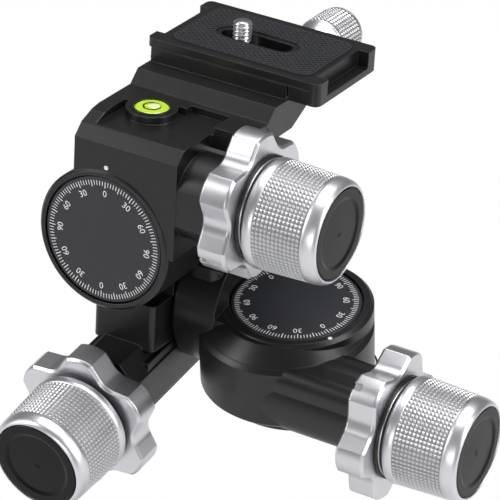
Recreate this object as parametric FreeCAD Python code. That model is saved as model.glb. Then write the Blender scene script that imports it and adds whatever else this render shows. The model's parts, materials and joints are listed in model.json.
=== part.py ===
import FreeCAD, Part
import math
import os

from FreeCAD import Placement, Rotation, Vector

# Geared tripod head: three worm-driven modules stacked as pan, tilt and roll, under a
# quick-release clamp. Millimetres, +Z up. The origin is the centre of the tripod thread at
# the bottom of the base. +X points along the pan and roll knobs, +Y is the lens direction.

# Worm drive, the same in all three modules
tooth_module = 0.5
wheel_teeth = 60
wheel_pitch_r = tooth_module * wheel_teeth / 2
worm_pitch_r = 4.5
centre_distance = wheel_pitch_r + worm_pitch_r
worm_pitch = math.pi * tooth_module
tooth_height = 0.5
root_depth = 0.72
thread_width = 0.6
gap_width = 0.98
flank_slope = math.tan(math.radians(20))
wheel_width = 8.0
worm_length = 13.0
shaft_r = 2.5

# Running fits and gaps
run_fit = 0.05
face_gap = 0.3
wheel_room = 0.7

# Axle, bush and retainer of each module
axle_r = 8.0
bush_wall = 2.0
retainer_r = 11.5
retainer_t = 2.0
retainer_screw_r = 1.25
retainer_screw_pcd = 11.0
washer_t = 0.6

# Release collar with its eccentric sleeve
eccentric = 1.6
sleeve_r = 8.0
sleeve_start = -13.4
sleeve_window = 9.4
sleeve_bridge = 2.6
tube_r = 14.0
tube_shift = 2.5
tube_start = -16.0
collar_t = 10.0
collar_lobes = 6
collar_lobe_r = 23.8
collar_valley_r = 19.6
collar_notch = 1.6
worm_bush_r = 4.6
worm_bush_t = 3.4

# Knob
knob_gap = 1.4
knob_base_r = 17.9
knob_rim_r = 16.5
knob_length = 26.0
knob_web = 12.0
knob_core_r = 6.0
cap_r = 15.0
cap_t = 2.2
cap_seat_fit = 0.1
groove_r = 16.2
knob_reach = 76.5
tilt_knob_reach = 85.0

# Pan module
base_r = 27.0
base_t = 4.2
thread_r = 4.76
thread_depth = 14.0
pan_wheel_z = 13.2
pan_top_z = 33.0
drum_r = 28.6
drum_xy = (-1.4, -4.4)
slope_top_r = 21.6
drum_top_z = 27.5
ring_r = 25.2
dial_r = 21.4
dial_t = 1.3
dial_fit = 0.4
dial_sink = 0.3
index_angle = -33.0
shoulder_x = (8.0, 37.0)
shoulder_y = (-31.0, -9.0)
shoulder_top = 27.8
neck_half = 21.5
pillar_half = 15.5
pillar_t = 13.5
pillar_rise = 21.0

# Tilt module, with its axis along X
tilt_axis_z = 26.0
module_x = -46.5
tilt_drum_r = 22.6
drum_face_x = -34.3
axle_seat = 11.0
block_half = 11.5
block_r = 20.0
tilt_dial_top = 13.4
chin_low = -10.5
chin_high = 6.0
tilt_rim_low = 6.0
web_y = (-36.0, 8.0)
tilt_neck_y = (-45.0, -10.0)
tilt_neck_z = (4.0, 12.0, 22.0)
web_z = (-26.0, -8.0)
lean = 9.0
tilt_tube_angle = 9.0

# Roll module, measured in the leaned frame from the tilt axis
roll_axis_z = 33.1
roll_dial_y = -46.3
roll_plane_y = -32.0
roll_back_y = -21.0
roll_ring_r = 24.0
upright_r = 14.0
upright_depth = 20.0
head_left = -12.0
head_right = 25.6
head_top = 32.7
deck_level = 39.2
pocket_level = 36.6

# Clamp and plate, measured from the roll axis and from the dial face
clamp_x = (-12.0, 39.0)
clamp_y = (32.4, 80.2)
clamp_floor = 43.3
bed_low = 37.4
jaw_top = 48.3
jaw_end = 87.6
jaw_foot = 2.6
jaw_depth = 9.0
plate_x = (-13.3, 50.0)
plate_y = (43.5, 82.3)
pad_inset = (6.0, 3.8)
ear_depth = 4.0
ear_width = 6.0
slot_reach = (-11.5, 7.5)
slot_border = 5.4
screw_from_slot = 3.8
plate_t = 3.0
plate_top = jaw_top + plate_t
dovetail_slope = 0.6
bubble_xy = (3.0, 21.5)
bubble_r = 6.6
clamp_knob_x = 22.0
clamp_axis_z = 40.4
clamp_knob_r = 8.7
clamp_knob_length = 22.0
clamp_screw_r = 2.0
clamp_bore = 28.0
guide_x = (-6.0, 33.0)
guide_r = 1.5
guide_length = 18.0
screw_r = 3.175
screw_rise = 5.4
screw_neck_r = 3.0
screw_shoulder = 0.5

X = Vector(1, 0, 0)
Y = Vector(0, 1, 0)
Z = Vector(0, 0, 1)

bush_r = axle_r + bush_wall
wheel_tip_r = wheel_pitch_r + tooth_height
worm_tip_r = worm_pitch_r + tooth_height
cavity_r = wheel_tip_r + wheel_room
lead_angle = math.degrees(math.atan(worm_pitch / (2 * math.pi * worm_pitch_r)))
ecc_n = eccentric * math.cos(math.radians(30))
ecc_w = eccentric * math.sin(math.radians(30))


def cyl(r, length, start=(0, 0, 0), axis=Z):
    return Part.makeCylinder(r, length, Vector(*start), axis)


def box(x0, x1, y0, y1, z0, z1):
    return Part.makeBox(x1 - x0, y1 - y0, z1 - z0, Vector(x0, y0, z0))


def ring(r_out, r_in, length, start=(0, 0, 0), axis=Z):
    return cyl(r_out, length, start, axis).cut(cyl(r_in, length, start, axis))


def fuse(*shapes):
    joined = shapes[0]
    for shape in shapes[1:]:
        joined = joined.fuse(shape)
    return joined.removeSplitter()


def cut(shape, *tools):
    for tool in tools:
        shape = shape.cut(tool)
    return shape


def turned(profile, axis=Z, start=(0, 0, 0)):
    """Closed (radius, height) outline turned about an axis."""
    points = [Vector(r, 0, h) for r, h in profile]
    face = Part.Face(Part.makePolygon(points + points[:1]))
    solid = face.revolve(Vector(0, 0, 0), Z, 360)
    solid.Placement = Placement(Vector(*start), Rotation(Z, axis))
    return solid


def moved(shape, placement):
    copy = shape.copy()
    copy.Placement = placement.multiply(copy.Placement)
    return copy


def rounded_edges(shape, radius, chosen):
    edges = [e for e in shape.Edges if chosen(e)]
    return shape.makeFillet(radius, edges) if edges else shape


def around(count, radius, first=0.0):
    for k in range(count):
        a = math.radians(first + 360.0 * k / count)
        yield radius * math.cos(a), radius * math.sin(a)


# Gears

def worm_wheel(keyed_r):
    """Brass ring with straight gaps slanted by the worm's lead angle."""
    blank = ring(wheel_tip_r, keyed_r, wheel_width, (0, 0, -wheel_width / 2))
    low = gap_width / 2 - root_depth * flank_slope
    high = gap_width / 2 + 2 * tooth_height * flank_slope
    r0 = wheel_pitch_r - root_depth
    r1 = wheel_pitch_r + 2 * tooth_height
    half = wheel_width
    outline = [Vector(r0, -low, -half), Vector(r1, -high, -half)]
    outline += [Vector(r1, high, -half), Vector(r0, low, -half)]
    gap = Part.Face(Part.makePolygon(outline + outline[:1])).extrude(Vector(0, 0, 2 * half))
    gap.rotate(Vector(0, 0, 0), X, -lead_angle)
    gaps = []
    for k in range(wheel_teeth):
        one = gap.copy()
        one.rotate(Vector(0, 0, 0), Z, 360.0 * k / wheel_teeth)
        gaps.append(one)
    return blank.cut(Part.makeCompound(gaps))


def worm(side, shaft_end, back_end):
    """Right-hand worm on its shaft along X, a thread crest facing the wheel at x = 0."""
    turns = worm_length / worm_pitch
    start = worm_pitch * (-round(turns / 2) - (0.25 if side < 0 else 0.75))
    helix = Part.makeHelix(worm_pitch, worm_pitch * (math.ceil(turns) + 1), worm_pitch_r)
    root_r = worm_pitch_r - root_depth
    wide = thread_width / 2 + (root_depth + 0.2) * flank_slope
    thin = thread_width / 2 - tooth_height * flank_slope
    outline = [Vector(root_r - 0.2, 0, -wide), Vector(worm_tip_r, 0, -thin)]
    outline += [Vector(worm_tip_r, 0, thin), Vector(root_r - 0.2, 0, wide)]
    wire = Part.makePolygon(outline + outline[:1])
    thread = Part.Wire(helix.Edges).makePipeShell([wire], True, True)
    thread.rotate(Vector(0, 0, 0), Y, 90)
    thread.translate(Vector(start, 0, 0))
    room = cyl(worm_tip_r + 1, worm_length, (-worm_length / 2, 0, 0), X)
    core = cyl(root_r, worm_length, (-worm_length / 2, 0, 0), X)
    shaft = cyl(shaft_r, shaft_end - back_end, (back_end, 0, 0), X)
    return core.fuse(thread.common(room)).fuse(shaft)


# Worm group, built about the wheel's centre: wheel axis Z, worm along X

def sleeve_centre(side):
    return side * (centre_distance + ecc_n), ecc_w


def collar_outline():
    """Star of lobes joined by shallow valleys, as one closed wire in the YZ plane."""
    step = 360.0 / collar_lobes
    points = []
    for k in range(collar_lobes):
        for offset, r in ((-0.19, collar_lobe_r), (0.19, collar_lobe_r), (0.5, collar_valley_r)):
            a = math.radians(step * (k + offset))
            points.append(Vector(0, r * math.cos(a), r * math.sin(a)))
    edges = []
    for k in range(collar_lobes):
        a = math.radians(step * k)
        crown = Vector(0, (collar_lobe_r + 0.6) * math.cos(a), (collar_lobe_r + 0.6) * math.sin(a))
        left, right, valley = points[3 * k], points[3 * k + 1], points[3 * k + 2]
        following = points[(3 * k + 3) % len(points)]
        edges.append(Part.Arc(left, crown, right).toShape())
        edges.append(Part.LineSegment(right, valley_end(valley, right)).toShape())
        edges.append(Part.Arc(valley_end(valley, right), valley, valley_end(valley, following)).toShape())
        edges.append(Part.LineSegment(valley_end(valley, following), following).toShape())
    return Part.Wire(edges)


def valley_end(valley, lobe):
    """Point where the valley's arc meets the flank of a lobe."""
    flank = lobe.sub(valley)
    along = valley.add(flank.multiply(0.45))
    return along.add(Vector(0, valley.y, valley.z).normalize().multiply(-0.35))


def release_collar(side, reach):
    """Star collar in one piece with the eccentric sleeve that carries the worm."""
    cy, cz = sleeve_centre(side)
    front = reach - knob_length - knob_gap
    star = Part.Face(collar_outline()).extrude(Vector(collar_t, 0, 0))
    star = star.makeChamfer(0.8, [e for e in star.Edges if abs(e.BoundBox.XMax - e.BoundBox.XMin) < 0.01])
    notch = box(0, collar_t / 3, -1.2, 1.2, collar_lobe_r - collar_notch, collar_lobe_r + 3)
    star = star.cut(moved(notch, Placement(Vector(0, 0, 0), Rotation(X, 30))))
    star.translate(Vector(front - collar_t, cy, cz))
    boss = cyl(groove_r, knob_gap + 1.0, (front - 1.0, cy, cz), X)
    sleeve = cyl(sleeve_r, front - sleeve_start, (sleeve_start, cy, cz), X)
    edge = cy - side * (sleeve_r + 1)
    bridge = cy + side * sleeve_bridge
    window = box(-sleeve_window, sleeve_window, min(edge, bridge), max(edge, bridge), -30, 30)
    window = window.fuse(cyl(worm_tip_r + 0.6, 2 * sleeve_window, (-sleeve_window, side * centre_distance, 0), X))
    body = fuse(star, boss, sleeve).cut(window)
    shaft_y = side * centre_distance
    bore = cyl(worm_bush_r, 200, (-100, shaft_y, 0), X)
    return body.cut(bore)


def worm_bushes(side, reach):
    """Two flangeless bronze bushes pressed in the sleeve."""
    y = side * centre_distance
    front = reach - knob_length - knob_gap
    back = ring(worm_bush_r, shaft_r + run_fit, worm_bush_t, (sleeve_start + 0.2, y, 0), X)
    ahead = ring(worm_bush_r, shaft_r + run_fit, worm_bush_t, (sleeve_window + 0.3, y, 0), X)
    last = ring(worm_bush_r, shaft_r + run_fit, worm_bush_t, (front - worm_bush_t, y, 0), X)
    return Part.makeCompound([back, ahead, last])


def knob(side, reach):
    """Hollow turned barrel with a seat for the cap at its outer end."""
    y = side * centre_distance
    length = knob_length - face_gap
    seat = cap_t + 0.4
    profile = [(shaft_r, 0), (knob_base_r - 1.2, 0), (knob_base_r, 1.2), (knob_base_r, 3.0)]
    profile += [(knob_rim_r + 0.5, length - 2.5), (knob_rim_r, length - 1.4), (knob_rim_r - 0.9, length)]
    profile += [(cap_r + cap_seat_fit, length), (cap_r + cap_seat_fit, length - seat)]
    profile += [(cap_r - 1.5, length - seat), (cap_r - 1.5, knob_web - 4.0), (knob_core_r, knob_web - 4.0),
                (knob_core_r, knob_web), (shaft_r, knob_web)]
    return turned(profile, X, (reach - length, y, 0))


def knob_cap(side, reach):
    """Black cap with a raised rim and a shallow dished face."""
    y = side * centre_distance
    back = reach - cap_t - 0.2
    profile = [(0, 0), (cap_r, 0), (cap_r, cap_t - 0.7), (cap_r - 0.7, cap_t), (cap_r - 3.2, cap_t)]
    profile += [(cap_r - 4.4, cap_t - 0.5), (0, cap_t - 0.35)]
    return turned(profile, X, (back, y, 0))


def knob_screw(side, reach):
    """Screw and washer that hold the knob on the worm shaft, under the cap."""
    y = side * centre_distance
    seat = reach - knob_length + face_gap + knob_web
    washer = ring(5.0, 1.6, 0.8, (seat, y, 0), X)
    head = cyl(2.8, 2.4, (seat + 0.8, y, 0), X).cut(cyl(1.25, 1.6, (seat + 1.6, y, 0), X))
    shank = cyl(1.5, 8.8, (seat - 8.0, y, 0), X)
    return fuse(washer, head, shank)


def worm_group(name, side, reach, place):
    seat = reach - knob_length + face_gap + knob_web
    shaft = worm(side, seat, sleeve_start - 0.2)
    shaft = shaft.cut(cyl(1.5, 8.0, (seat - 8.0, 0, 0), X))
    shaft.translate(Vector(0, side * centre_distance, 0))
    parts = {
        name + "_release_collar": release_collar(side, reach),
        name + "_worm_bushes": worm_bushes(side, reach),
        name + "_worm": shaft,
        name + "_knob": knob(side, reach),
        name + "_knob_cap": knob_cap(side, reach),
        name + "_knob_screw": knob_screw(side, reach),
    }
    return {node: moved(shape, place) for node, shape in parts.items()}


def sleeve_bore(side, reach):
    cy, cz = sleeve_centre(side)
    front = reach - knob_length - knob_gap - collar_t - face_gap
    bore = cyl(sleeve_r + run_fit, front + 200, (sleeve_start - 0.7, cy, cz), X)
    return bore


def worm_tube(side, reach, start=tube_start):
    cy, cz = sleeve_centre(side)
    end = reach - knob_length - knob_gap - collar_t - face_gap
    cy = cy - side * tube_shift
    return cyl(tube_r, end - start, (start, cy, cz), X)


def tube_clearance(side, reach):
    """Space that the star collar sweeps, taken out of the housing."""
    cy, cz = sleeve_centre(side)
    front = reach - knob_length - knob_gap
    return cyl(collar_lobe_r + 1.4, collar_t + 2 * face_gap, (front - collar_t - face_gap, cy, cz), X)


# Axle stack of a module, built about the wheel's centre

def wheel_axle(foot, top):
    """Axle with a key flat under the wheel; foot and top are heights from the wheel plane."""
    shaft = cyl(axle_r, top - foot, (0, 0, foot))
    for x, y in around(3, retainer_screw_pcd / 2, 30):
        shaft = shaft.cut(cyl(retainer_screw_r, 5.0, (x, y, top - 5.0)))
    return shaft


def bush(low, high):
    return ring(bush_r, axle_r + run_fit, high - low, (0, 0, low))


def retainer(seat):
    plate = cyl(retainer_r, retainer_t, (0, 0, seat))
    for x, y in around(3, retainer_screw_pcd / 2, 30):
        plate = plate.cut(cyl(retainer_screw_r + 0.15, retainer_t, (x, y, seat)))
    return plate


def retainer_screws(seat, head_room):
    screws = []
    for x, y in around(3, retainer_screw_pcd / 2, 30):
        shank = cyl(retainer_screw_r, retainer_t + 4.5, (x, y, seat - 4.5))
        head = cyl(2.1, head_room, (x, y, seat + retainer_t))
        screws.append(shank.fuse(head))
    return Part.makeCompound(screws)


def dial(top):
    """Dial disc with a shallow step at its edge and three pegs that seat on the retainer."""
    low = top - dial_sink - dial_t
    profile = [(0, 0), (dial_r, 0), (dial_r, dial_t - 0.4), (dial_r - 0.4, dial_t), (0, dial_t)]
    return turned(profile, Z, (0, 0, low))


def module_stack(name, top, place):
    """Wheel, retainer, screws and dial that turn with the axle."""
    dial_low = top - dial_sink - dial_t
    seat = dial_low - retainer_t - 1.6
    hub = ring(retainer_r, 8.2, dial_low - seat - retainer_t, (0, 0, seat + retainer_t))
    parts = {
        name + "_worm_wheel": worm_wheel(axle_r),
        name + "_retainer": retainer(seat).fuse(hub),
        name + "_retainer_screws": retainer_screws(seat, 1.2),
        name + "_dial": dial(top),
    }
    return {node: moved(shape, place) for node, shape in parts.items()}


def module_cavity(top, open_low):
    """Everything a housing leaves free round the wheel, bush, retainer and dial."""
    dial_low = top - dial_sink - dial_t
    seat = dial_low - retainer_t - 1.6
    wheel_room_top = wheel_width / 2 + 0.5
    return [
        cyl(cavity_r, wheel_room_top - open_low, (0, 0, open_low)),
        cyl(bush_r, seat - wheel_room_top + 1, (0, 0, wheel_room_top - 0.5)),
        cyl(retainer_r + face_gap, top - seat + 1, (0, 0, seat - face_gap)),
        cyl(dial_r + dial_fit, top - dial_low + 5, (0, 0, dial_low - face_gap)),
    ]


def bush_span(top):
    seat = top - dial_sink - dial_t - retainer_t - 1.6
    return wheel_width / 2 + 0.5, seat - face_gap


# Frames of the modules

pan_place = Placement(Vector(0, 0, pan_wheel_z), Rotation())
tilt_axis_point = Vector(0, 0, tilt_axis_z)
lean_turn = Placement(Vector(0, 0, 0), Rotation(X, -lean), tilt_axis_point)
tube_turn = Placement(Vector(0, 0, 0), Rotation(X, tilt_tube_angle - lean), tilt_axis_point)
tilt_frame = Placement(Vector(module_x, 0, tilt_axis_z), Rotation(Y.negative(), Z, X.negative(), "ZXY"))
tilt_place = tube_turn.multiply(tilt_frame)
roll_centre = Vector(module_x, roll_plane_y, tilt_axis_z + roll_axis_z)
roll_frame = Placement(roll_centre, Rotation(X, Z, Y.negative(), "ZXY"))
roll_place = lean_turn.multiply(roll_frame)
# The head's own frame: X across, Y back from the dial face, Z up from the roll axis
head_place = lean_turn.multiply(
    Placement(Vector(module_x, roll_dial_y, tilt_axis_z + roll_axis_z), Rotation()))

pan_top = pan_top_z - pan_wheel_z
pan_low = base_t + washer_t - pan_wheel_z
roll_top = roll_plane_y - roll_dial_y
roll_low = roll_plane_y - roll_back_y
tilt_low = -block_half


# Pan module

def tripod_base():
    """Base disc with the pan post and the tripod's threaded socket."""
    profile = [(0, 0), (base_r - 0.8, 0), (base_r, 0.8), (base_r, base_t), (axle_r + 2, base_t)]
    profile += [(axle_r + 2, pan_wheel_z - wheel_width / 2), (axle_r, pan_wheel_z - wheel_width / 2)]
    top = pan_top_z - dial_sink - dial_t - retainer_t - 1.6
    profile += [(axle_r, top), (0, top)]
    body = turned(profile)
    body = body.cut(cyl(thread_r, thread_depth))
    for x, y in around(3, retainer_screw_pcd / 2, 30):
        body = body.cut(cyl(retainer_screw_r, 5.0, (x, y, top - 5.0)))
    return body


def pan_outer():
    """Round drum, upper ring, worm tube and the neck to the tilt drum."""
    drum = turned([(0, base_t + washer_t), (drum_r - 1.5, base_t + washer_t), (drum_r, base_t + washer_t + 1.5),
                   (drum_r, drum_top_z - 1.5), (drum_r - 1.5, drum_top_z), (0, drum_top_z)], Z, (*drum_xy, 0))
    upper = turned([(0, base_t + washer_t), (ring_r, base_t + washer_t), (ring_r, pan_top_z - 1.2),
                    (ring_r - 1.2, pan_top_z), (0, pan_top_z)])
    slope = turned([(0, drum_top_z - 8), (drum_r, drum_top_z - 1.5), (slope_top_r, pan_top_z - 0.5),
                    (0, pan_top_z - 0.5)], Z, (*drum_xy, 0))
    tube = worm_tube(-1, knob_reach, 0)
    tube.translate(Vector(0, 0, pan_wheel_z))
    shoulder = box(*shoulder_x, *shoulder_y, pan_wheel_z - 4, shoulder_top)
    shoulder = rounded_edges(shoulder, 5.0, lambda e: abs(e.BoundBox.ZMax - e.BoundBox.ZMin) < 0.1
                             and e.BoundBox.ZMax > shoulder_top - 0.1 and e.BoundBox.XLength > 20)
    tilt_drum = turned([(0, 0), (tilt_drum_r - 1, 0), (tilt_drum_r, 1), (tilt_drum_r, 16), (0, 16)],
                       X, (drum_face_x, 0, tilt_axis_z))
    neck = cyl(tilt_drum_r, -4 - drum_face_x, (drum_face_x + 4, 0, tilt_axis_z), X).common(
        box(drum_face_x, 0, -neck_half, neck_half, base_t + washer_t, pan_top_z - 0.5))
    pillar = rounded_edges(box(drum_face_x + 1.5, drum_face_x + 1.5 + pillar_t, -pillar_half, pillar_half, 12,
                                tilt_axis_z + pillar_rise), 4.0,
                           lambda e: e.BoundBox.ZLength > 20 or
                           (e.BoundBox.ZMin > tilt_axis_z + pillar_rise - 0.1 and e.BoundBox.YLength > 20))
    return fuse(drum, slope, upper, tube, shoulder, tilt_drum, neck, pillar)


def pan_housing():
    body = pan_outer()
    tools = [moved(t, pan_place) for t in module_cavity(pan_top, pan_low - 3)]
    bore = sleeve_bore(-1, knob_reach)
    sweep = tube_clearance(-1, knob_reach)
    tools += [moved(bore, pan_place), moved(sweep, pan_place)]
    tools.append(cyl(base_r + face_gap, 40, (0, 0, base_t + washer_t - 40)))
    tools.append(box(-60, 90, -60, 60, -20, 0.4))
    tools.append(cyl(axle_r, axle_seat + 1, (drum_face_x - 1, 0, tilt_axis_z), X))
    tools.append(pan_index())
    return cut(body, *tools)


def pan_index():
    """White index dot set in the ring, beside the dial."""
    r = (dial_r + ring_r) / 2 + 0.1
    a = math.radians(index_angle)
    return cyl(0.7, 0.6, (r * math.cos(a), r * math.sin(a), pan_top_z - 0.55))


def thrust_washer():
    return ring(drum_r - 2.5, cavity_r + 0.8, washer_t, (0, 0, base_t))


# Tilt module

def tilt_axle():
    """Fixed axle pressed in the pan housing's drum, carrying the tilt wheel."""
    place = tilt_frame
    top = tilt_dial_top - dial_sink - dial_t - retainer_t - 1.6
    foot = (module_x - drum_face_x) - axle_seat
    return moved(wheel_axle(foot, top), place)


def tilt_outer():
    """Block round the tilt wheel, with its chin, its upright and the slanted worm tube."""
    x0 = module_x - block_half
    x1 = module_x + block_half
    round_part = cyl(block_r, 2 * block_half, (x0, 0, tilt_axis_z), X)
    chin = box(x0, x1, roll_plane_y + 0.3, 0, tilt_axis_z + chin_low, tilt_axis_z + chin_high)
    chin = rounded_edges(chin, 2.0, lambda e: e.BoundBox.ZLength > 10 and e.BoundBox.YMax < -20)
    upright = box(x0, x1, roll_back_y + washer_t, roll_back_y + upright_depth, tilt_axis_z, tilt_axis_z + roll_axis_z)
    crown = cyl(block_half, upright_depth - washer_t,
                (module_x, roll_back_y + washer_t, tilt_axis_z + roll_axis_z), Y)
    leaned = moved(fuse(round_part, chin, upright, crown), lean_turn)
    tube = moved(worm_tube(-1, tilt_knob_reach), tilt_place)
    dial_rim = moved(cyl(dial_r + 2.2, tilt_dial_top - tilt_rim_low, (0, 0, tilt_rim_low)), tilt_place)
    y0, y1 = tilt_neck_y
    low, mid, top = tilt_neck_z
    outline = [Vector(module_x + x, y0, z) for x, z in ((-13.8, low), (-13.8, mid), (-6.5, top), (6.5, top),
                                                        (13.8, mid), (13.8, low))]
    facets = Part.Face(Part.makePolygon(outline + outline[:1])).extrude(Vector(0, y1 - y0, 0))
    facets = moved(facets, tube_turn)
    collar_web = moved(box(x0, x1, *web_y, tilt_axis_z + web_z[0], tilt_axis_z + web_z[1]), tube_turn)
    return fuse(leaned, tube, dial_rim, collar_web, facets)


def tilt_housing():
    body = tilt_outer()
    tools = [moved(t, tilt_place) for t in module_cavity(tilt_dial_top, tilt_low - 3)]
    bore = sleeve_bore(-1, tilt_knob_reach)
    sweep = tube_clearance(-1, tilt_knob_reach)
    tools += [moved(bore, tilt_place), moved(sweep, tilt_place)]
    face = drum_face_x - face_gap
    tools.append(box(face, face + 40, -80, 80, tilt_axis_z - 60, tilt_axis_z + 60))
    swing = cyl(roll_ring_r + face_gap, 60, (module_x, roll_back_y - 60, tilt_axis_z + roll_axis_z), Y)
    tools.append(moved(swing, lean_turn))
    axle_hole = cyl(axle_r, upright_depth - 4, (module_x, roll_back_y, tilt_axis_z + roll_axis_z), Y)
    tools.append(moved(axle_hole, lean_turn))
    tools.append(tilt_index())
    return cut(body, *tools)


def tilt_index():
    a = math.radians(90)
    r = dial_r + 1.3
    return moved(cyl(0.6, 0.6, (r * math.cos(a), r * math.sin(a), tilt_dial_top - 0.55)), tilt_place)


# Roll module

def roll_axle():
    top = roll_top - dial_sink - dial_t - retainer_t - 1.6
    foot = roll_low - upright_depth + 4
    return moved(wheel_axle(foot, top), roll_place)


def roll_washer():
    return moved(ring(12.5, bush_r - 1.5, washer_t, (0, 0, roll_low - washer_t)), roll_place)


def head_profile():
    """Side outline of the head block, Y back from the dial face and Z from the roll axis."""
    return [(0.6, 0.0), (0.6, head_top), (4.2, pocket_level - 0.2), (10.0, deck_level - 0.6), (14.0, deck_level),
            (clamp_y[0], deck_level), (clamp_y[0] + 4.2, clamp_floor), (clamp_y[1] - 0.8, clamp_floor),
            (clamp_y[1], clamp_floor - 0.8), (clamp_y[1], bed_low), (60.0, bed_low), (44.0, 26.0), (44.0, 23.5),
            (25.3, 23.5), (25.3, 0.0)]


def extrude_yz(points, x0, x1):
    wire = Part.makePolygon([Vector(x0, y, z) for y, z in points + points[:1]])
    return Part.Face(wire).extrude(Vector(x1 - x0, 0, 0))


def roll_outer():
    """Front ring round the dial, worm tube, arm over the upright and the clamp's bed."""
    depth = roll_back_y - roll_dial_y
    front = turned([(0, 0.8), (roll_ring_r - 0.9, 0), (roll_ring_r, 0.9), (roll_ring_r, depth), (0, depth)], Y)
    block = extrude_yz(head_profile(), head_left, head_right)
    skirt = extrude_yz([(0.6, 0), (0.6, 5), (depth, 5), (depth, 0)], head_left, head_right - 4)
    bed = extrude_yz([(20.0, deck_level - 7), (20.0, deck_level), (clamp_y[0], deck_level),
                      (clamp_y[0] + 4.2, clamp_floor), (clamp_y[1] - 0.8, clamp_floor),
                      (clamp_y[1], clamp_floor - 0.8), (clamp_y[1], bed_low), (58.0, bed_low),
                      (48.0, deck_level - 7)], clamp_x[0], clamp_x[1])
    tube = worm_tube(1, knob_reach, -14.0)
    tube.Placement = Placement(Vector(0, roll_plane_y - roll_dial_y, 0), Rotation(X, Z, Y.negative(), "ZXY"))
    tube = tube.common(box(head_left, 90, 0.9, depth, -60, 60))
    return fuse(front, block, skirt, bed, tube, fixed_jaw())


def bubble_pocket():
    """Lower step of the deck, which leaves the bubble's boss standing."""
    x, y = bubble_xy
    tool = box(head_left + 5, head_right + 1, 4.2, 30.0, pocket_level, deck_level + 4)
    keep = cyl(bubble_r + 1.7, 12, (x, y, pocket_level - 2)).fuse(
        box(head_left, x, y, 40, pocket_level - 2, deck_level + 5))
    keep = keep.fuse(box(x, x + 9.5, y + 5.5, 40, pocket_level - 2, deck_level + 5))
    return tool.cut(keep)


def roll_housing():
    body = roll_outer()
    to_head = head_place.inverse().multiply(roll_place)
    tools = [moved(t, to_head) for t in module_cavity(roll_top, roll_low - 3)]
    tools += [moved(sleeve_bore(1, knob_reach), to_head), moved(tube_clearance(1, knob_reach), to_head)]
    tools.append(bubble_pocket())
    depth = roll_back_y - roll_dial_y
    tools.append(cyl(upright_r + 1.0, 60, (0, depth, 0), Y).common(box(-40, 40, depth, depth + 60, -40, 40)))
    x, y = bubble_xy
    tools.append(cyl(bubble_r + 0.1, 5.0, (x, y, deck_level - 4.0)))
    tools.append(clamp_tools())
    return moved(cut(body, *tools), head_place).cut(roll_index())


def clamp_tools():
    """Bores that the jaw's screw and guide pins need in the clamp's bed."""
    y0, y1 = clamp_y[1] - clamp_bore, clamp_y[1] + 5
    bores = [cyl(clamp_screw_r, y1 - y0, (clamp_knob_x, y0, clamp_axis_z), Y)]
    for x in guide_x:
        bores.append(cyl(guide_r + run_fit, y1 - y0, (x, y0, clamp_axis_z), Y))
    return Part.makeCompound(bores)


def dovetail(grow):
    """Trapezoid of the plate's rail, wide at the bottom."""
    mid = (plate_y[0] + plate_y[1]) / 2
    half = (plate_y[1] - plate_y[0]) / 2 - jaw_foot + grow
    low = clamp_floor + 0.2 - grow
    high = jaw_top + grow
    inset = (high - low) * dovetail_slope
    return [(mid - half, low), (mid + half, low), (mid + half - inset, high), (mid - half + inset, high)]


def fixed_jaw():
    """Near jaw of the clamp, one piece with its bed."""
    y0 = plate_y[0] + 0.1
    block = extrude_yz([(y0, clamp_floor - 1), (y0, jaw_top - 0.1), (y0 + jaw_depth, jaw_top - 0.1),
                        (y0 + jaw_depth, clamp_floor - 1)], clamp_x[0] + 0.4, clamp_x[1] - 0.4)
    return block.cut(extrude_yz(dovetail(0.1), -50, 80))


def moving_jaw():
    """Far jaw with the leg that the screw and the guide pins pass through."""
    y1 = plate_y[1] - 0.1
    outline = [(y1 - jaw_depth, clamp_floor + 0.1), (y1 - jaw_depth, jaw_top - 0.1), (y1, jaw_top - 0.1),
               (y1 + 0.4, jaw_top - 1.4), (jaw_end - 1.5, jaw_top - 1.4), (jaw_end, jaw_top - 3.0),
               (jaw_end, bed_low + 0.2), (clamp_y[1] + face_gap, bed_low + 0.2),
               (clamp_y[1] + face_gap, clamp_floor + 0.1)]
    block = extrude_yz(outline, clamp_x[0] + 0.4, clamp_x[1] - 0.4)
    jaw = block.cut(extrude_yz(dovetail(0.1), -50, 80))
    jaw = jaw.cut(cyl(clamp_screw_r + 0.1, 30, (clamp_knob_x, jaw_end - 20, clamp_axis_z), Y))
    for x in guide_x:
        jaw = jaw.cut(cyl(guide_r, jaw_end - clamp_y[1] - 2, (x, clamp_y[1], clamp_axis_z), Y))
    return moved(jaw, head_place)


def jaw_guide_pins():
    """Two steel pins pressed in the moving jaw that slide in the bed."""
    pins = []
    for x in guide_x:
        y0 = clamp_y[1] - guide_length
        pins.append(cyl(guide_r, jaw_end - 2 - y0, (x, y0, clamp_axis_z), Y))
    return moved(Part.makeCompound(pins), head_place)


def clamp_screw():
    """Threaded rod from the clamp knob through the moving jaw into the bed."""
    y0 = clamp_y[1] - guide_length
    rod = cyl(clamp_screw_r - run_fit, jaw_end + 0.3 + 7.6 - y0, (clamp_knob_x, y0, clamp_axis_z), Y)
    return moved(rod, head_place)


def clamp_knob():
    rod = clamp_screw_r - run_fit
    profile = [(rod, 0), (5.2, 0), (clamp_knob_r - 0.8, 7.5), (clamp_knob_r, 8.3),
               (clamp_knob_r, clamp_knob_length - 0.8), (clamp_knob_r - 0.8, clamp_knob_length),
               (3.0, clamp_knob_length), (3.0, clamp_knob_length - 1.0), (0, clamp_knob_length - 1.0), (0, 7.6),
               (rod, 7.6)]
    return moved(turned(profile, Y, (clamp_knob_x, jaw_end + 0.3, clamp_axis_z)), head_place)


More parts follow.
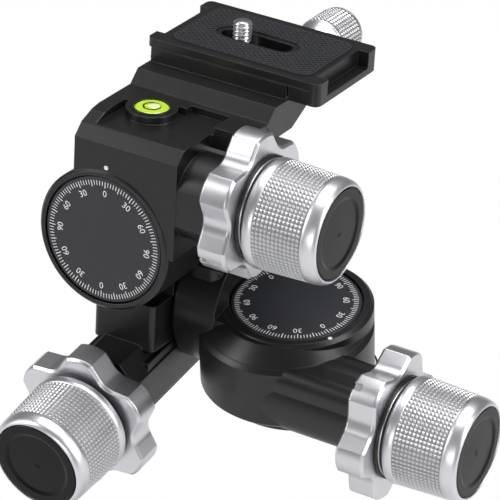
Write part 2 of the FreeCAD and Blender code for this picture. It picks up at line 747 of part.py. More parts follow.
def plate():
    """Quick-release plate: rail, flat top with a recess for the pad, stops at its right end."""
    mid = (plate_y[0] + plate_y[1]) / 2
    x0, x1 = plate_x
    rail = extrude_yz(dovetail(0.0), x0, x1)
    top = rounded_edges(box(x0, x1, *plate_y, jaw_top, plate_top), 2.2, lambda e: e.BoundBox.ZLength > 2)
    stops = box(clamp_x[1] + face_gap, x1, *plate_y, clamp_floor + 0.3, plate_top)
    stops = rounded_edges(stops, 2.2, lambda e: e.BoundBox.ZLength > 2 and e.BoundBox.XMin > x1 - 0.1)
    groove_z = jaw_top + 0.2
    body = fuse(rail, top, stops)
    for y0, y1 in ((plate_y[0] - 1, plate_y[0] + 0.4), (plate_y[1] - 0.4, plate_y[1] + 1)):
        body = body.cut(box(x0 - 1, x1 - 3, y0, y1, groove_z, groove_z + 0.5))
    gap_y = (plate_y[0] + ear_width, plate_y[1] - ear_width)
    body = body.cut(box(x0 - 1, x0 + ear_depth - 1, *gap_y, 0, 100))
    body = body.cut(box(x1 - ear_depth, x1 + 1, *gap_y, clamp_floor + 2.5, 100))
    x2, x3 = screw_span()
    slot = long_hole(x2, x3, mid, screw_r + 0.25, 0, 100)
    counter = long_hole(x2, x3, mid, 6.4, clamp_floor - 1, clamp_floor + 4.0)
    return moved(cut(body, pad_outline(0.1, plate_top - 0.8, 3), slot, counter), head_place)


def screw_span():
    mid = (plate_x[0] + plate_x[1]) / 2
    return mid + slot_reach[0], mid + slot_reach[1]


def long_hole(x0, x1, y, r, z0, z1):
    return fuse(cyl(r, z1 - z0, (x0, y, z0)), cyl(r, z1 - z0, (x1, y, z0)), box(x0, x1, y - r, y + r, z0, z1))


def pad_outline(grow, z, height):
    x0, x1 = plate_x
    dx, dy = pad_inset
    pad = box(x0 + dx - grow, x1 - dx + grow, plate_y[0] + dy - grow, plate_y[1] - dy + grow, z, z + height)
    pad = rounded_edges(pad, 4.0, lambda e: e.BoundBox.ZLength > height - 0.01)
    x2, x3 = screw_span()
    mid = (plate_y[0] + plate_y[1]) / 2
    return pad.cut(long_hole(x2, x3, mid, slot_border - grow, z - 1, z + height + 1))


def rubber_pad():
    return moved(pad_outline(0.0, plate_top - 0.8, 1.2), head_place)


def camera_screw():
    """Quarter-inch screw with its head in the plate's long recess."""
    x = screw_span()[0] + screw_from_slot
    mid = (plate_y[0] + plate_y[1]) / 2
    low = clamp_floor + 0.5
    rise = plate_top + screw_rise - low
    neck = plate_top + screw_shoulder - low
    profile = [(0, 0), (6.0, 0), (6.0, 2.0), (screw_neck_r, 2.0), (screw_neck_r, neck), (screw_r, neck + 0.175),
               (screw_r, rise - 0.8), (screw_r - 0.7, rise), (0, rise)]
    slot = box(x - 7, x + 7, mid - 0.6, mid + 0.6, low, low + 0.9)
    return moved(turned(profile, Z, (x, mid, low)).cut(slot), head_place)


def screw_clip():
    """Washer clipped on the screw's neck, which keeps the screw in the plate."""
    x = screw_span()[0] + screw_from_slot
    mid = (plate_y[0] + plate_y[1]) / 2
    return moved(ring(5.6, screw_neck_r + run_fit, 0.8, (x, mid, clamp_floor + 2.8)), head_place)


def bubble_cup():
    x, y = bubble_xy
    low = deck_level - 4.0
    body = cyl(bubble_r, 4.2, (x, y, low)).cut(cyl(bubble_r - 0.9, 3.4, (x, y, low + 0.8)))
    return moved(body, head_place)


def bubble_vial():
    x, y = bubble_xy
    low = deck_level - 3.2
    profile = [(0, 0), (bubble_r - 0.95, 0), (bubble_r - 0.95, 2.9), (bubble_r - 1.6, 3.3), (0, 3.4)]
    return moved(turned(profile, Z, (x, y, low)), head_place)


def roll_index():
    return moved(cyl(0.75, 0.8, (0, 0.45, dial_r + 3.6), Y), head_place)


def build():
    nodes = {
        "tripod_base": tripod_base(),
        "pan_thrust_washer": thrust_washer(),
        "pan_housing": pan_housing(),
        "pan_bush": moved(bush(*bush_span(pan_top)), pan_place),
        "pan_index_dot": pan_index(),
        "tilt_axle": tilt_axle(),
        "tilt_housing": tilt_housing(),
        "tilt_bush": moved(bush(*bush_span(tilt_dial_top)), tilt_place),
        "tilt_index_dot": tilt_index(),
        "roll_axle": roll_axle(),
        "roll_thrust_washer": roll_washer(),
        "roll_housing": roll_housing(),
        "roll_bush": moved(bush(*bush_span(roll_top)), roll_place),
        "roll_index_dot": roll_index(),
        "moving_jaw": moving_jaw(),
        "jaw_guide_pins": jaw_guide_pins(),
        "clamp_screw": clamp_screw(),
        "clamp_knob": clamp_knob(),
        "quick_release_plate": plate(),
        "rubber_pad": rubber_pad(),
        "camera_screw": camera_screw(),
        "camera_screw_clip": screw_clip(),
        "bubble_cup": bubble_cup(),
        "bubble_vial": bubble_vial(),
    }
    nodes.update(module_stack("pan", pan_top, pan_place))
    nodes.update(module_stack("tilt", tilt_dial_top, tilt_frame))
    nodes.update(module_stack("roll", roll_top, roll_place))
    nodes.update(worm_group("pan", -1, knob_reach, pan_place))
    nodes.update(worm_group("tilt", -1, tilt_knob_reach, tilt_place))
    nodes.update(worm_group("roll", 1, knob_reach, roll_place))
    return nodes


os.makedirs("parts", exist_ok=True)
for name, shape in build().items():
    shape.exportStep("parts/" + name + ".step")
    print(name, len(shape.Solids), round(shape.Volume), shape.isValid())
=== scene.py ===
# %% [markdown]
# # Geared tripod head
# The imported model gives every piece its place and size. This scene gives each one a finish, replaces
# the knobs and the camera screw with finely cut meshes, adds ribs to the pad, and prints the scales on the
# dials.

# %% Load the frame
import json
import math

import bmesh
import bpy
from mathutils import Matrix, Vector


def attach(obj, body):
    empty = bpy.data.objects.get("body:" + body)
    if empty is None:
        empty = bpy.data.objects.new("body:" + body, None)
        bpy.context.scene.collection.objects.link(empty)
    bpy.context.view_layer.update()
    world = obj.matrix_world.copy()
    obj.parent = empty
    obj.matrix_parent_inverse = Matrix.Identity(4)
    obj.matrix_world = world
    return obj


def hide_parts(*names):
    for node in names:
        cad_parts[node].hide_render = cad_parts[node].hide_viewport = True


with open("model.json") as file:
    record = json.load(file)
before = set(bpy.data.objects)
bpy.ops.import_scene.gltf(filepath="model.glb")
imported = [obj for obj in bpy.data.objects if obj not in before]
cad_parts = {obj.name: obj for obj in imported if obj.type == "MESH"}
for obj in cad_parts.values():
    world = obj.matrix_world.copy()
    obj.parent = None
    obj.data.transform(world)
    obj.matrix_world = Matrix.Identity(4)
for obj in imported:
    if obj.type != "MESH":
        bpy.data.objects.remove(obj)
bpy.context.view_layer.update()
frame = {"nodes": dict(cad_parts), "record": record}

nodes = frame["nodes"]

# %% [markdown]
# ## Places
# Each module has its own frame: X along its worm, Z along its wheel towards the dial. The upper part
# leans back by nine degrees about the tilt axis, so its frames are turned with it.

# %% Frames of the modules
MM = 0.001
LEAN = math.radians(-9.0)
TILT_Z, MODULE_X = 26.0, -46.5
ROLL_Y, DIAL_Y, ROLL_Z = -32.0, -46.3, 59.1


def frame_of(x, y, z, origin):
    m = Matrix((x, y, z)).transposed().to_4x4()
    m.translation = Vector(origin)
    return m


pivot = Matrix.Translation((0, 0, TILT_Z))
leaned = pivot @ Matrix.Rotation(LEAN, 4, "X") @ pivot.inverted()
PAN = frame_of((1, 0, 0), (0, 1, 0), (0, 0, 1), (0, 0, 13.2))
TILT = frame_of((0, -1, 0), (0, 0, 1), (-1, 0, 0), (MODULE_X, 0, TILT_Z))
ROLL = leaned @ frame_of((1, 0, 0), (0, 0, 1), (0, -1, 0), (MODULE_X, ROLL_Y, ROLL_Z))
HEAD = leaned @ Matrix.Translation((MODULE_X, DIAL_Y, ROLL_Z))
CENTRE = 19.5
print("roll dial centre", [round(v, 1) for v in HEAD.translation])

# %% [markdown]
# ## Finishes
# Shared effects are node groups. Soft edges turn the normal near a sharp edge, as a deburred edge
# does, and tell where the edge is so that a finish can be a little brighter there. The tint lifts the
# colour on those edges and lets the roughness drift with a broad cloud.

# %% Node groups


def group(name, inputs, outputs):
    g = bpy.data.node_groups.new(name, "ShaderNodeTree")
    for label, kind, value in inputs:
        s = g.interface.new_socket(label, in_out="INPUT", socket_type=kind)
        if value is not None:
            s.default_value = value
    for label, kind in outputs:
        g.interface.new_socket(label, in_out="OUTPUT", socket_type=kind)
    return g, g.nodes.new("NodeGroupInput"), g.nodes.new("NodeGroupOutput")


def soft_edge_group():
    """A normal rounded at sharp edges with a fine grain on it, and a value that is 1 on the edges."""
    g, i, o = group("soft_edges",
                    [("Radius", "NodeSocketFloat", 0.0003), ("Grain size", "NodeSocketFloat", 2500.0),
                     ("Grain depth", "NodeSocketFloat", 0.1)],
                    [("Normal", "NodeSocketVector"), ("Edge", "NodeSocketFloat")])
    n, k = g.nodes, g.links
    bevel = n.new("ShaderNodeBevel")
    bevel.samples = 6
    k.new(i.outputs["Radius"], bevel.inputs["Radius"])
    geometry = n.new("ShaderNodeNewGeometry")
    dot = n.new("ShaderNodeVectorMath")
    dot.operation = "DOT_PRODUCT"
    k.new(bevel.outputs[0], dot.inputs[0])
    k.new(geometry.outputs["Normal"], dot.inputs[1])
    edge = n.new("ShaderNodeMapRange")
    edge.inputs["From Min"].default_value = 0.995
    edge.inputs["From Max"].default_value = 0.80
    k.new(dot.outputs["Value"], edge.inputs["Value"])
    k.new(edge.outputs["Result"], o.inputs["Edge"])
    place = n.new("ShaderNodeTexCoord")
    noise = n.new("ShaderNodeTexNoise")
    noise.inputs["Detail"].default_value = 3.0
    k.new(place.outputs["Object"], noise.inputs["Vector"])
    k.new(i.outputs["Grain size"], noise.inputs["Scale"])
    bump = n.new("ShaderNodeBump")
    bump.inputs["Distance"].default_value = 0.00005
    k.new(i.outputs["Grain depth"], bump.inputs["Strength"])
    k.new(noise.outputs["Fac"], bump.inputs["Height"])
    k.new(bevel.outputs[0], bump.inputs["Normal"])
    k.new(bump.outputs["Normal"], o.inputs["Normal"])
    return g


def tint_group():
    """Colour that lifts on edges in patches, and roughness that drifts with a broad cloud."""
    g, i, o = group("tint", [("Base", "NodeSocketColor", None), ("Worn", "NodeSocketColor", None),
                             ("Edge", "NodeSocketFloat", 0.0), ("Wear", "NodeSocketFloat", 0.3),
                             ("Rough low", "NodeSocketFloat", 0.3), ("Rough high", "NodeSocketFloat", 0.4)],
                    [("Color", "NodeSocketColor"), ("Roughness", "NodeSocketFloat")])
    n, k = g.nodes, g.links
    place = n.new("ShaderNodeTexCoord")
    cloud = n.new("ShaderNodeTexNoise")
    cloud.inputs["Scale"].default_value = 90.0
    cloud.inputs["Detail"].default_value = 4.0
    k.new(place.outputs["Object"], cloud.inputs["Vector"])
    broken = n.new("ShaderNodeMath")
    broken.operation = "MULTIPLY"
    k.new(i.outputs["Edge"], broken.inputs[0])
    k.new(i.outputs["Wear"], broken.inputs[1])
    patch = n.new("ShaderNodeMath")
    patch.operation = "MULTIPLY"
    k.new(broken.outputs[0], patch.inputs[0])
    k.new(cloud.outputs["Fac"], patch.inputs[1])
    mix = n.new("ShaderNodeMix")
    mix.data_type = "RGBA"
    k.new(patch.outputs[0], mix.inputs["Factor"])
    k.new(i.outputs["Base"], mix.inputs["A"])
    k.new(i.outputs["Worn"], mix.inputs["B"])
    k.new(mix.outputs["Result"], o.inputs["Color"])
    rough = n.new("ShaderNodeMapRange")
    k.new(cloud.outputs["Fac"], rough.inputs["Value"])
    rough.inputs["From Min"].default_value = 0.3
    rough.inputs["From Max"].default_value = 0.7
    k.new(i.outputs["Rough low"], rough.inputs["To Min"])
    k.new(i.outputs["Rough high"], rough.inputs["To Max"])
    k.new(rough.outputs["Result"], o.inputs["Roughness"])
    return g


EDGES = soft_edge_group()
TINT = tint_group()
print("groups", [g.name for g in bpy.data.node_groups])

# %% [markdown]
# One function makes a finish from these two groups. The numbers say how a surface was made: a bead
# blasted and anodised body is black and satin, a turned knob is bright, and the rubber is dull.

# %% Finishes


def finish(name, base, worn=None, metallic=0.0, rough=(0.35, 0.42), grain=(2500.0, 0.1), radius=0.0003,
           wear=0.3, coat=0.0):
    """A material. rough is the range, grain its scale and depth, radius that of the soft edges in metres."""
    m = bpy.data.materials.new(name)
    m.use_nodes = True
    n, k = m.node_tree.nodes, m.node_tree.links
    bsdf = n["Principled BSDF"]
    bsdf.inputs["Metallic"].default_value = metallic
    bsdf.inputs["IOR"].default_value = 1.5
    bsdf.inputs["Coat Weight"].default_value = coat
    bsdf.inputs["Coat Roughness"].default_value = 0.12
    e = n.new("ShaderNodeGroup")
    e.node_tree = EDGES
    e.inputs["Radius"].default_value = radius
    e.inputs["Grain size"].default_value = grain[0]
    e.inputs["Grain depth"].default_value = grain[1]
    t = n.new("ShaderNodeGroup")
    t.node_tree = TINT
    t.inputs["Base"].default_value = (*base, 1)
    t.inputs["Worn"].default_value = (*(worn or base), 1)
    t.inputs["Wear"].default_value = wear
    t.inputs["Rough low"].default_value = rough[0]
    t.inputs["Rough high"].default_value = rough[1]
    k.new(e.outputs["Edge"], t.inputs["Edge"])
    k.new(t.outputs["Color"], bsdf.inputs["Base Color"])
    k.new(t.outputs["Roughness"], bsdf.inputs["Roughness"])
    k.new(e.outputs["Normal"], bsdf.inputs["Normal"])
    return m


FINISH = {
    "black_body": finish("black_anodised", (0.0075, 0.0075, 0.008), (0.10, 0.10, 0.105), rough=(0.31, 0.37),
                         grain=(5200.0, 0.2), radius=0.00045, wear=0.7),
    "silver": finish("satin_silver", (0.70, 0.70, 0.725), (0.93, 0.93, 0.94), 1.0, (0.30, 0.34),
                     (5200.0, 0.05), 0.0005, 0.6),
    "knurl": finish("turned_silver", (0.74, 0.74, 0.77), (0.93, 0.93, 0.94), 1.0, (0.36, 0.4),
                    (5200.0, 0.02), 0.00004, 0.2),
    "dial": finish("dial_black", (0.024, 0.025, 0.031), (0.20, 0.20, 0.21), 0.0, (0.42, 0.5),
                   (4800.0, 0.2), 0.0002, 0.5),
    "cap": finish("cap_black", (0.0045, 0.0045, 0.005), (0.04, 0.04, 0.04), 0.0, (0.26, 0.32),
                  (3800.0, 0.05), 0.0004, 0.4),
    "white_mark": finish("white_mark", (0.85, 0.85, 0.85), None, 0.0, (0.45, 0.55),
                         (3000.0, 0.05), 0.0001, 0.0),
    "brass": finish("brass", (0.70, 0.52, 0.24), (0.85, 0.7, 0.4), 1.0, (0.25, 0.38),
                    (3000.0, 0.15), 0.0001, 0.5),
    "steel": finish("steel", (0.66, 0.66, 0.68), (0.85, 0.85, 0.86), 1.0, (0.2, 0.3),
                    (3200.0, 0.1), 0.0001, 0.5),
    "retainer": finish("retainer", (0.45, 0.45, 0.47), (0.7, 0.7, 0.7), 1.0, (0.3, 0.4),
                       (3000.0, 0.1), 0.0002, 0.4),
    "washer": finish("washer", (0.75, 0.75, 0.72), None, 0.0, (0.4, 0.5), (2000.0, 0.1), 0.0001, 0.0),
    "rubber": finish("rubber", (0.022, 0.023, 0.028), (0.06, 0.06, 0.065), 0.0, (0.6, 0.75),
                     (3500.0, 0.5), 0.0002, 0.4),
    "cup": finish("cup_black", (0.008, 0.008, 0.008), (0.04, 0.04, 0.04), 0.0, (0.3, 0.4),
                  (3000.0, 0.1), 0.0002, 0.3),
    "vial_air": finish("vial_air", (0.85, 0.95, 0.45), None, 0.0, (0.05, 0.08),
                       (500.0, 0.02), 0.0002, 0.0, 1.0),
    "vial": finish("vial_green", (0.55, 0.80, 0.04), (0.7, 0.9, 0.2), 0.0, (0.06, 0.1),
                   (600.0, 0.02), 0.0003, 0.2, 1.0),
}
CAP_SPECULAR = 0.18
GROOVE_COLOUR = (0.40, 0.40, 0.41, 1)


def darken_grooves(m):
    """The knurl's grooves hold shadow and a little dirt."""
    n, k = m.node_tree.nodes, m.node_tree.links
    bsdf = n["Principled BSDF"]
    layer = n.new("ShaderNodeAttribute")
    layer.attribute_name = "groove"
    mix = n.new("ShaderNodeMix")
    mix.data_type = "RGBA"
    k.new(layer.outputs["Fac"], mix.inputs["Factor"])
    k.new(bsdf.inputs["Base Color"].links[0].from_socket, mix.inputs["A"])
    mix.inputs["B"].default_value = GROOVE_COLOUR
    k.new(mix.outputs["Result"], bsdf.inputs["Base Color"])


darken_grooves(FINISH["knurl"])
FINISH["cap"].node_tree.nodes["Principled BSDF"].inputs["Specular IOR Level"].default_value = CAP_SPECULAR
for part in frame["record"]["subparts"]:
    mesh = nodes[part["node"]].data
    mesh.materials.clear()
    mesh.materials.append(FINISH[part["material_slot"]])
print("finishes", len(FINISH))

# %% [markdown]
# ## Meshes by formula
# A turned piece is a grid of rings. The screw takes its radius from a function of height and angle,
# which makes the thread, and the other turned pieces take theirs from an outline.

# %% Mesh helpers


def add(name, verts, faces, place, body, slot, smooth=True, look=None):
    """A mesh in millimetres in a module's frame. look is a finish, where it isn't the slot's own."""
    mesh = bpy.data.meshes.new(name)
    mesh.from_pydata([place @ Vector(v) * MM for v in verts], [], faces)
    mesh.validate()
    mesh.materials.append(FINISH[look or slot])
    bm = bmesh.new()
    bm.from_mesh(mesh)
    bmesh.ops.recalc_face_normals(bm, faces=bm.faces)
    bm.to_mesh(mesh)
    bm.free()
    if smooth:
        mesh.shade_smooth()
    else:
        mesh.shade_flat()
    obj = bpy.data.objects.new(name, mesh)
    bpy.context.scene.collection.objects.link(obj)
    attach(obj, body)
    return obj


def rings(heights, count, radius):
    """Rings of count points at each height, joined by faces, with one face over each end."""
    verts, faces = [], []
    for row, h in enumerate(heights):
        for c in range(count):
            a = 2 * math.pi * c / count
            r = radius(row, h, a)
            verts.append((r * math.cos(a), r * math.sin(a), h))
    for row in range(len(heights) - 1):
        for c in range(count):
            d = (c + 1) % count
            faces.append((row * count + c, row * count + d, (row + 1) * count + d, (row + 1) * count + c))
    faces.append(tuple(range(count)))
    faces.append(tuple((len(heights) - 1) * count + c for c in range(count)))
    return verts, faces


def outline_rings(profile, count):
    """A closed (radius, height) outline turned through a full circle, ring by ring."""
    verts, faces = [], []
    for r, h in profile:
        for c in range(count):
            a = 2 * math.pi * c / count
            verts.append((r * math.cos(a), r * math.sin(a), h))
    rows = len(profile)
    for row in range(rows):
        nxt = (row + 1) % rows
        for c in range(count):
            d = (c + 1) % count
            faces.append((row * count + c, row * count + d, nxt * count + d, nxt * count + c))
    return verts, faces


BOX_FACES = ((3, 2, 1, 0), (4, 5, 6, 7), (0, 1, 5, 4), (1, 2, 6, 5), (2, 3, 7, 6), (3, 0, 4, 7))


def along_x(x, y, z=0.0):
    """Turns a piece made along Z so that it lies along X of a module, starting at x."""
    return Matrix.Translation((x, y, z)) @ frame_of((0, 1, 0), (0, 0, 1), (1, 0, 0), (0, 0, 0))


print("helpers ready")

# %% [markdown]
# ## Knobs
# The knurl is real: small flat-topped points in a square grid, with straight grooves cut between them.
# A smooth ring stays at the collar end, and the rim at the cap end is rounded.

# %% Knurled knobs


def knurled(sections, knurl, count, depth, rows):
    """A turned outline with a knurled stretch. Also gives each vertex's share of groove, 0 or 1."""
    before, after = sections
    (r0, h0), (r1, h1) = knurl
    outline = [(r, h, False) for r, h in before] + [(r0 - depth, h0, None)]
    steps = rows * 3
    for row in range(steps):
        t = (row + 0.5) / steps
        outline.append((r0 + (r1 - r0) * t, h0 + (h1 - h0) * t, row % 3 == 2))
    outline += [(r1 - depth, h1, None)] + [(r, h, False) for r, h in after]
    n = count * 3
    verts, faces, groove = [], [], []
    first, last = len(before) + 1, len(before) + steps
    for k, (r, h, cut) in enumerate(outline):
        inside = first <= k <= last
        for c in range(n):
            a = 2 * math.pi * c / n
            low = inside and (cut or c % 3 == 2)
            verts.append(((r - depth * low) * math.cos(a), (r - depth * low) * math.sin(a), h))
            groove.append(1.0 if low or cut is None else 0.0)
    total = len(outline)
    for k in range(total):
        nxt = (k + 1) % total
        for c in range(n):
            d = (c + 1) % n
            faces.append((k * n + c, k * n + d, nxt * n + d, nxt * n + c))
    return verts, faces, groove


def mark_grooves(obj, groove):
    """Stores the share of groove on the vertices, for the finish to darken."""
    layer = obj.data.attributes.new("groove", "FLOAT", "POINT")
    layer.data.foreach_set("value", groove)


def smooth_turned(obj, groove):
    """Smooth shading where the piece is plainly turned, flat on the knurl's points."""
    mesh = obj.data
    for p in mesh.polygons:
        p.use_smooth = not any(groove[i] for i in p.vertices)


KNOB_LENGTH = 25.7
REACH, TILT_REACH = 76.5, 85.0


def big_knob(name, module, side, reach, body):
    """One of the three knobs, its cap end at reach along the module's worm."""
    before = [(2.6, 12.0), (2.6, 0.0), (16.2, 0.0), (16.9, 0.18), (17.5, 0.6), (17.85, 1.3), (17.9, 2.2),
              (17.78, 3.7), (17.5, 4.0)]
    after = [(17.0, 20.7), (17.15, 21.0), (17.1, 22.0), (16.9, 23.4), (16.6, 24.4), (16.1, 25.2),
             (15.5, 25.65), (15.2, 25.7), (15.1, 25.5), (15.1, 23.1), (6.0, 23.0), (6.0, 12.0)]
    verts, faces, groove = knurled((before, after), ((17.75, 4.1), (17.12, 20.6)), 76, 0.38, 12)
    place = module @ along_x(reach - KNOB_LENGTH, side * CENTRE)
    obj = add(name + "_knob_knurled", verts, faces, place, body, "silver", False, "knurl")
    mark_grooves(obj, groove)
    smooth_turned(obj, groove)
    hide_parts(name + "_knob")


big_knob("pan", PAN, -1, REACH, "pan_drive")
big_knob("tilt", TILT, -1, TILT_REACH, "tilt_drive")
big_knob("roll", ROLL, 1, REACH, "roll_drive")

# %% [markdown]
# The clamp's knob is a smaller turned piece, a cone behind a knurled barrel.

# %% Clamp knob


def clamp_knob():
    before = [(1.95, 7.6), (1.95, 0.0), (4.8, 0.0), (5.2, 0.3), (7.7, 7.0), (8.1, 7.5), (8.3, 7.7)]
    after = [(8.35, 20.6), (8.5, 20.8), (8.3, 21.5), (7.7, 21.95), (3.0, 22.0), (3.0, 21.0), (1.95, 20.9)]
    verts, faces, groove = knurled((before, after), ((8.7, 7.9), (8.7, 20.4)), 40, 0.3, 10)
    turn = frame_of((0, 0, 1), (1, 0, 0), (0, 1, 0), (0, 0, 0))
    place = HEAD @ Matrix.Translation((22.0, 87.9, 40.4)) @ turn
    obj = add("clamp_knob_knurled", verts, faces, place, "clamp_drive", "silver", False, "knurl")
    mark_grooves(obj, groove)
    smooth_turned(obj, groove)
    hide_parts("clamp_knob")


clamp_knob()
print("clamp knob made")

# %% [markdown]
# A dark ring fills the groove between each collar and its knob, as painted shade in the groove. It sits on
# the release sleeve, whose middle is off the worm's axis.

# %% Groove rings, painted shade
SLEEVE_OFFSET, SLEEVE_ANGLE = 1.6, math.radians(30)
RING_BACK = 27.4


def groove_shade_ring(name, module, side, reach, body):
    n = math.cos(SLEEVE_ANGLE) * SLEEVE_OFFSET
    w = math.sin(SLEEVE_ANGLE) * SLEEVE_OFFSET
    outline = [(16.25, 0.1), (16.9, 0.1), (17.0, 0.25), (17.0, 0.95), (16.9, 1.1), (16.25, 1.1)]
    verts, faces = outline_rings(outline, 96)
    place = module @ along_x(reach - RING_BACK, side * (CENTRE + n), w)
    # painted shade: a black ring standing in for the shadow in the groove
    add(name + "_groove_shade_ring", verts, faces, place, body, "cup", False)


groove_shade_ring("pan", PAN, -1, REACH, "pan_sleeve")
groove_shade_ring("tilt", TILT, -1, TILT_REACH, "tilt_sleeve")
groove_shade_ring("roll", ROLL, 1, REACH, "roll_sleeve")
print("groove rings made")

# %% [markdown]
# ## Dials
# The scales are printed: a short mark every three degrees, a longer one every fifteen, and numbers
# from 0 to 90 and back in steps of thirty. Tops of the numbers point outward.

# %% Dial scales
TICK_R, LABEL_R = 20.2, 16.0
MARK_HALF = 0.012


def number_mesh(text, size):
    """The points and faces of a number, flat around the origin."""
    curve = bpy.data.curves.new("n" + text, "FONT")
    curve.body = text
    curve.size = size
    curve.align_x = "CENTER"
    curve.align_y = "CENTER"
    curve.extrude = MARK_HALF
    curve.resolution_u = 3
    obj = bpy.data.objects.new("n" + text, curve)
    bpy.context.scene.collection.objects.link(obj)
    graph = bpy.context.evaluated_depsgraph_get()
    mesh = bpy.data.meshes.new_from_object(obj.evaluated_get(graph))
    verts = [v.co.copy() for v in mesh.vertices]
    faces = [tuple(p.vertices) for p in mesh.polygons]
    bpy.data.objects.remove(obj)
    bpy.data.curves.remove(curve)
    bpy.data.meshes.remove(mesh)
    return verts, faces


NUMBERS = {t: number_mesh(t, 3.1) for t in ("0", "30", "60", "90")}


def dial_scale(name, module, top, zero, body):
    """Marks and numbers of a dial in one mesh, zero being the angle of the first 0."""
    verts, faces = [], []
    z = top + MARK_HALF
    for k in range(120):
        a = math.radians(zero + 3 * k)
        long = k % 5 == 0
        inner = TICK_R - (2.2 if long else 1.6)
        w = 0.15 if long else 0.13
        u = Vector((math.cos(a), math.sin(a), 0))
        v = Vector((-math.sin(a), math.cos(a), 0))
        base = len(verts)
        for dz in (-MARK_HALF, MARK_HALF):
            for r, s in ((inner, -1), (TICK_R, -1), (TICK_R, 1), (inner, 1)):
                verts.append(u * r + v * s * w + Vector((0, 0, z + dz)))
        faces += [tuple(base + i for i in f) for f in BOX_FACES]
    for k, text in enumerate(("0", "30", "60", "90", "60", "30") * 2):
        a = math.radians(zero + 30 * k)
        u = Vector((math.cos(a), math.sin(a), 0))
        m = frame_of((u.y, -u.x, 0), u, (0, 0, 1), u * LABEL_R + Vector((0, 0, z)))
        nv, nf = NUMBERS[text]
        base = len(verts)
        verts += [m @ v for v in nv]
        faces += [tuple(base + i for i in f) for f in nf]
    add(name + "_dial_scale", verts, faces, module, body, "white_mark", False)


dial_scale("pan", PAN, 19.5, -29.0, "base")
dial_scale("tilt", TILT, 13.1, 90.0, "pan_body")
dial_scale("roll", ROLL, 14.0, 90.0, "tilt_body")
print("scales made")

# %% [markdown]
# ## Plate
# The pad's ribs cross at 40 degrees to either side of the plate's length. They stop at the pad's
# rounded outline and at the border of the slot.

# %% Ribbed pad
PLATE_X, PLATE_Y, PLATE_TOP = (-13.3, 50.0), (43.5, 82.3), 51.3
PAD_TOP = PLATE_TOP + 0.4
PAD_HALF, PAD_CORNER = (25.65, 15.6), 4.0
SLOT_ENDS, SLOT_BORDER = (-11.5, 7.5), 5.4
mid_x, mid_y = sum(PLATE_X) / 2, sum(PLATE_Y) / 2


def inside_pad(x, y, inset):
    """Whether a point is on the pad, at least inset from its outline and from the slot's border."""
    hx, hy, r = PAD_HALF[0] - inset, PAD_HALF[1] - inset, PAD_CORNER
    dx, dy = abs(x - mid_x), abs(y - mid_y)
    if dx > hx or dy > hy:
        return False
    if dx > hx - r and dy > hy - r and math.hypot(dx - hx + r, dy - hy + r) > r:
        return False
    sx = min(max(x, mid_x + SLOT_ENDS[0]), mid_x + SLOT_ENDS[1])
    return math.hypot(x - sx, y - mid_y) > SLOT_BORDER + inset


def rib_boxes(angle, pitch=1.5, width=0.55, height=0.36):
    """Ribs at an angle to the plate's length, narrower at the top, found by stepping along each line."""
    verts, faces = [], []
    u = Vector((math.cos(math.radians(angle)), math.sin(math.radians(angle)), 0))
    v = Vector((-u.y, u.x, 0))
    for k in range(-26, 27):
        start = None
        s = -38.0
        while s < 38.0:
            p = Vector((mid_x, mid_y, 0)) + v * k * pitch + u * s
            ok = inside_pad(p.x, p.y, 0.45)
            if ok and start is None:
                start = s
            if start is not None and not ok:
                if s - start > 0.5:
                    base = len(verts)
                    for z, g in ((PAD_TOP - 0.05, 1.0), (PAD_TOP + height, 0.55)):
                        for e, side in ((start, -1), (s, -1), (s, 1), (start, 1)):
                            q = Vector((mid_x, mid_y, 0)) + v * (k * pitch + side * width / 2 * g) + u * e
                            verts.append((q.x, q.y, z))
                    faces += [tuple(base + i for i in f) for f in BOX_FACES]
                start = None
            s += 0.08
    return verts, faces


for side, angle in (("right", 40), ("left", -40)):
    pad_verts, pad_faces = rib_boxes(angle)
    add("pad_ribs_" + side, pad_verts, pad_faces, HEAD, "plate", "rubber", False)
    print("ribs", side, len(pad_faces) // 6)

# %% [markdown]
# ## Camera screw
# A quarter-inch screw with twenty turns to the inch, cut into the shaft as a real helix.

# %% Camera screw
SCREW_RISE, SCREW_X = 5.4, -7.7


def screw():
    low = 43.8
    top = PLATE_TOP + SCREW_RISE
    pitch, root, crest = 1.27, 2.6, 3.175
    heights = [low, low + 0.01, low + 2.0, low + 2.01, low + 2.6]
    z = low + 2.7
    while z < top - 0.02:
        heights.append(z)
        z += pitch / 8
    heights.append(top)

    def radius(row, h, a):
        if row in (1, 2):
            return 6.0
        if row == 0:
            return 5.7
        if h < low + 2.65:
            return 2.9
        phase = ((h / pitch) - a / (2 * math.pi)) % 1.0
        tri = 1 - abs(2 * phase - 1)
        r = root + (crest - root) * min(1.0, max(0.0, tri * 1.5 - 0.2))
        return min(r, crest - max(0.0, (h - top + 0.9)) * 0.85)

    verts, faces = rings(heights, 40, radius)
    place = HEAD @ Matrix.Translation((mid_x + SCREW_X, mid_y, 0))
    obj = add("camera_screw_thread", verts, faces, place, "screw", "steel", True)
    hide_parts("camera_screw")


screw()
print("screw made")

# %% [markdown]
# ## Bubble level
# A black circle is printed on the vial, and the bubble rests a little off its middle.

# %% Bubble level
BUBBLE = HEAD @ Matrix.Translation((3.0, 21.5, 39.4))
ring_outline = [(2.45, 0.0), (2.95, 0.0), (2.95, 0.06), (2.45, 0.06)]
verts, faces = outline_rings(ring_outline, 48)
add("bubble_circle", verts, faces, BUBBLE, "roll_body", "cup", False)


def bubble():
    heights = [0.02, 0.1, 0.22, 0.32, 0.38]
    radii = [2.1, 2.0, 1.6, 1.0, 0.3]
    v, f = rings(heights, 32, lambda row, h, a: radii[row])
    place = BUBBLE @ Matrix.Translation((0.5, 0.6, 0.0))
    add("bubble", v, f, place, "roll_body", "vial", True, "vial_air")


bubble()
print("bubble made")

# %% [markdown]
# ## Light, floor and camera
# Soft boxes stand left, right and above. The floor is plain and pale, and low enough for every pose.

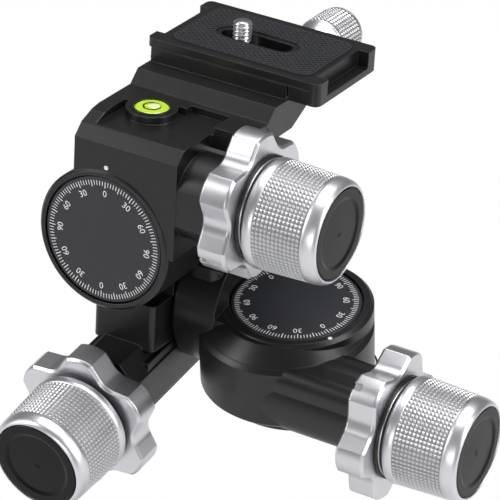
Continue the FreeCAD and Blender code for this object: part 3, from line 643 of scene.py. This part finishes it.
# %% Floor and backdrop
FLOOR_Z, FLOOR_HALF = -0.09, 3
floor_mesh = bpy.data.meshes.new("floor")
floor_corners = [(x * FLOOR_HALF, y * FLOOR_HALF, FLOOR_Z) for x, y in ((-1, -1), (1, -1), (1, 1), (-1, 1))]
floor_mesh.from_pydata(floor_corners, [], [(0, 1, 2, 3)])
floor = bpy.data.objects.new("floor", floor_mesh)
bpy.context.scene.collection.objects.link(floor)
pale = bpy.data.materials.new("floor_pale")
pale.use_nodes = True
pn, pk = pale.node_tree.nodes, pale.node_tree.links
pn["Principled BSDF"].inputs["Base Color"].default_value = (0.75, 0.75, 0.75, 1)
pn["Principled BSDF"].inputs["Roughness"].default_value = 0.9
rays = pn.new("ShaderNodeLightPath")
white = pn.new("ShaderNodeEmission")
white.inputs["Strength"].default_value = 1.0
switch = pn.new("ShaderNodeMixShader")
pk.new(rays.outputs["Is Camera Ray"], switch.inputs[0])
pk.new(pn["Principled BSDF"].outputs[0], switch.inputs[1])
pk.new(white.outputs[0], switch.inputs[2])
pk.new(switch.outputs[0], pn["Material Output"].inputs["Surface"])
floor_mesh.materials.append(pale)

world = bpy.data.worlds.new("studio")
bpy.context.scene.world = world
world.use_nodes = True
wn, wk = world.node_tree.nodes, world.node_tree.links
back = wn["Background"]
back.inputs["Color"].default_value = (0.16, 0.16, 0.165, 1)
clear = wn.new("ShaderNodeBackground")
clear.inputs["Color"].default_value = (1, 1, 1, 1)
seen = wn.new("ShaderNodeLightPath")
choose = wn.new("ShaderNodeMixShader")
wk.new(seen.outputs["Is Camera Ray"], choose.inputs[0])
wk.new(back.outputs[0], choose.inputs[1])
wk.new(clear.outputs[0], choose.inputs[2])
wk.new(choose.outputs[0], wn["World Output"].inputs["Surface"])


def softbox(name, where, size, power, aim=(0.0, 0.0, 0.045)):
    light = bpy.data.lights.new(name, "AREA")
    light.shape = "RECTANGLE"
    light.size, light.size_y = size
    light.energy = power
    lamp = bpy.data.objects.new(name, light)
    lamp.location = where
    lamp.rotation_euler = (Vector(aim) - Vector(where)).to_track_quat("-Z", "Y").to_euler()
    bpy.context.scene.collection.objects.link(lamp)


softbox("left_box", (-0.75, -0.55, 0.55), (0.4, 0.9), 5.0)
softbox("right_box", (0.9, 0.1, 0.5), (0.35, 0.8), 6.0)
softbox("top_box", (0.0, 0.25, 1.0), (0.8, 0.6), 8.0)
softbox("front_box", (0.25, -0.95, 0.25), (0.6, 0.25), 2.2)

# %% [markdown]
# The camera stands a metre away, to the right of the front and thirty-five degrees up, turned by
# less than two degrees.

# %% Camera
camera = bpy.data.cameras.new("camera")
camera.sensor_width = 36.0
camera.lens = 221.2
eye = bpy.data.objects.new("camera", camera)
look_back = Vector((0.4315, -0.6997, 0.5697)).normalized()
up = Vector((-0.2726, 0.501, 0.822))
up = (up - look_back * up.dot(look_back)).normalized()
right = up.cross(look_back)
eye.matrix_world = frame_of(right, up, look_back, (0.4115, -0.695, 0.6131))
bpy.context.scene.collection.objects.link(eye)
bpy.context.scene.camera = eye
bpy.context.scene.view_settings.view_transform = "Standard"
